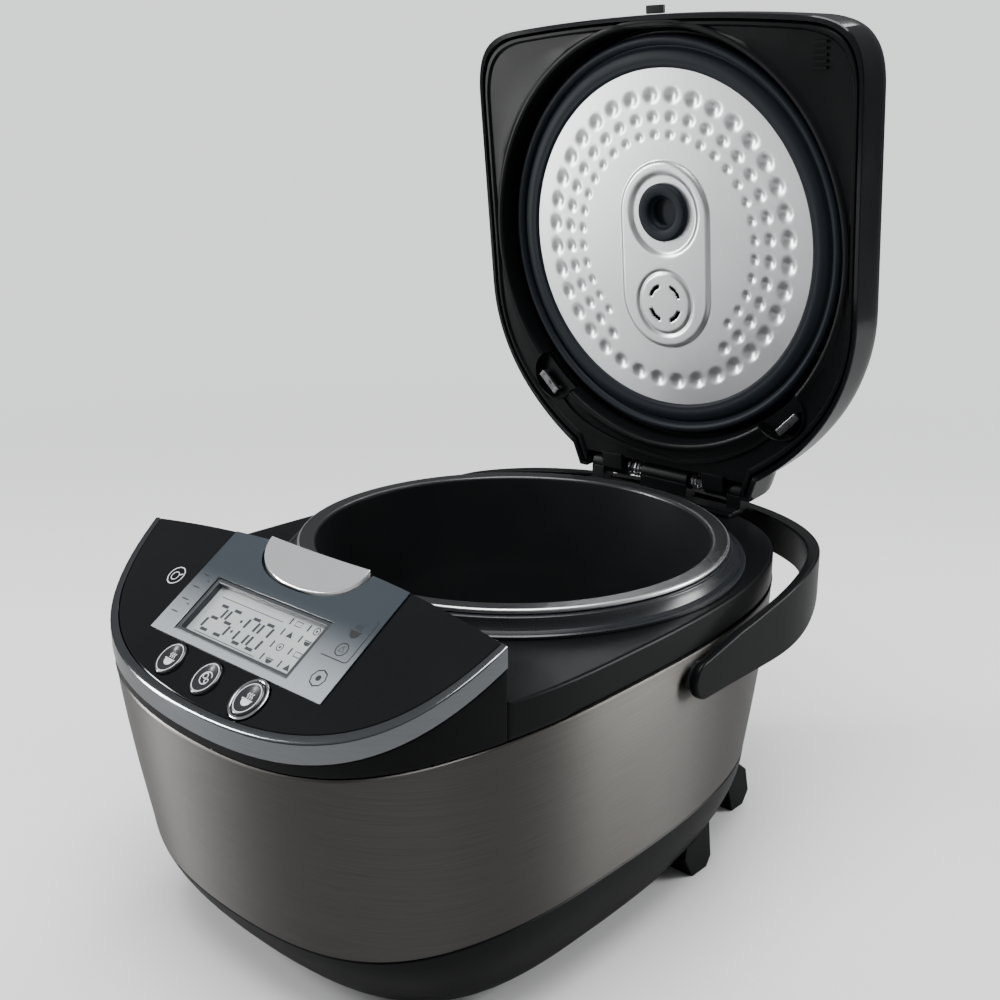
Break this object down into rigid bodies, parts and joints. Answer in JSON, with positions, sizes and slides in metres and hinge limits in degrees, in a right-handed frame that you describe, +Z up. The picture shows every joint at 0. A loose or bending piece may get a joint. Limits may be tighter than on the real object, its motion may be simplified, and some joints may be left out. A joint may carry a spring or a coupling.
{
  "type": "electric multicooker",
  "caption": "Countertop multicooker with an opened hinged lid, lift-out non-stick pot, sloping front console with display and keys, brushed sleeve and folding carry handle.",
  "frame": {"origin": "middle of the footprint of the cooker with its lid open, on the table", "axes": "+Z up, -Y to the front where the console is, +X to the right as seen from behind the console facing the lid"},
  "size_m": [0.283, 0.3996, 0.4718],
  "materials": {
    "matt_black": "fine satin moulded black",
    "gloss_black": "polished black",
    "smoked_plastic": "dark grey moulded",
    "brushed_steel": "brushed along its length",
    "bright_trim": "satin silver plating",
    "silver_film": "silver printed film",
    "chrome": "polished plating",
    "display_grey": "liquid crystal display",
    "board_green": "solder mask",
    "non_stick": "black non-stick coating",
    "plain_aluminium": "pressed and satin",
    "spring_steel": "drawn wire",
    "dark_rubber": "matt silicone"
  },
  "bodies": {
    "base": {"base_shell": "matt_black", "bottom_cover": "matt_black", "cover_screw_1": "spring_steel", "cover_screw_2": "spring_steel", "cover_screw_3": "spring_steel", "cover_screw_4": "spring_steel", "front_foot_left": "dark_rubber", "front_foot_right": "dark_rubber", "rear_foot_left": "dark_rubber", "rear_foot_right": "dark_rubber", "side_fin_left": "matt_black", "side_fin_right": "matt_black", "rear_fin_left": "matt_black", "rear_fin_right": "matt_black", "handle_pivot_left": "smoked_plastic", "handle_pivot_right": "smoked_plastic", "hinge_spring_left": "spring_steel", "hinge_spring_right": "spring_steel", "mains_inlet": "gloss_black", "steel_sleeve": "brushed_steel", "top_collar": "matt_black", "rim_ring": "smoked_plastic", "trim_strip": "bright_trim", "panel_fascia": "gloss_black", "panel_film": "silver_film", "display_frame": "smoked_plastic", "display_module": "display_grey", "control_board": "board_green", "power_board": "board_green", "key_bezel": "chrome", "release_spring": "spring_steel", "heating_chamber": "plain_aluminium", "heater_plate": "plain_aluminium", "heat_shield": "plain_aluminium", "sensor_spring": "spring_steel", "hinge_bracket": "matt_black", "hinge_pin": "chrome"},
    "key_left": {"key_left": "smoked_plastic"},
    "key_middle": {"key_middle": "smoked_plastic"},
    "key_right": {"key_right": "smoked_plastic"},
    "release_button": {"release_button": "chrome"},
    "latch": {"latch_slide": "smoked_plastic"},
    "pot": {"inner_pot": "non_stick"},
    "sensor": {"sensor_plunger": "plain_aluminium"},
    "handle": {"carry_handle": "matt_black"},
    "lid": {"lid_shell": "gloss_black", "lid_liner": "matt_black", "lid_catch": "smoked_plastic", "lid_clip_left": "plain_aluminium", "lid_clip_right": "plain_aluminium"},
    "inner_lid": {"inner_lid_plate": "plain_aluminium", "seal_ring": "dark_rubber", "vent_bush": "dark_rubber"},
    "steam_cap": {"steam_cap": "gloss_black"}
  },
  "joints": [
    {"name": "lid_hinge", "type": "hinge", "parent": "base", "child": "lid", "pos_m": [0, 0.16558, 0.1912], "axis": [-1, 0, 0], "range_deg": [-84.4, 0], "stiffness_Nm_per_rad": 0.9, "springref_deg": 20.05},
    {"name": "pot_lift", "type": "slide", "parent": "base", "child": "pot", "axis": [0, 0, 1], "range_m": [0, 0.146]},
    {"name": "handle_swing", "type": "hinge", "parent": "base", "child": "handle", "pos_m": [0, 0.00558, 0.1465], "axis": [1, 0, 0], "range_deg": [0, 4]},
    {"name": "release_press", "type": "slide", "parent": "base", "child": "release_button", "axis": [0, 0, -1], "range_m": [0, 0.003], "stiffness_N_per_m": 600, "springref_m": -0.002, "deforming": ["release_spring"]},
    {"name": "latch_retract", "type": "slide", "parent": "base", "child": "latch", "axis": [0, -1, 0], "range_m": [0, 0.003]},
    {"name": "key_left_press", "type": "slide", "parent": "base", "child": "key_left", "axis": [0, 0.5499, -0.8352], "range_m": [0, 0.001], "stiffness_N_per_m": 900, "springref_m": -0.0005},
    {"name": "key_middle_press", "type": "slide", "parent": "base", "child": "key_middle", "axis": [0, 0.5499, -0.8352], "range_m": [0, 0.001], "stiffness_N_per_m": 900, "springref_m": -0.0005},
    {"name": "key_right_press", "type": "slide", "parent": "base", "child": "key_right", "axis": [0, 0.5499, -0.8352], "range_m": [0, 0.001], "stiffness_N_per_m": 900, "springref_m": -0.0005},
    {"name": "inner_lid_pull", "type": "slide", "parent": "lid", "child": "inner_lid", "axis": [0, -0.9952, -0.0976], "range_m": [0, 0.0145]},
    {"name": "steam_cap_pull", "type": "slide", "parent": "lid", "child": "steam_cap", "axis": [0, 0.9952, 0.0976], "range_m": [0, 0.03]},
    {"name": "sensor_press", "type": "slide", "parent": "base", "child": "sensor", "axis": [0, 0, 1], "range_m": [-0.003, 0], "stiffness_N_per_m": 500, "springref_m": 0.004, "deforming": ["sensor_spring"]}
  ],
  "couplings": [
    {"joint": "latch_retract", "follows": "release_press", "ratio": 1}
  ]
}
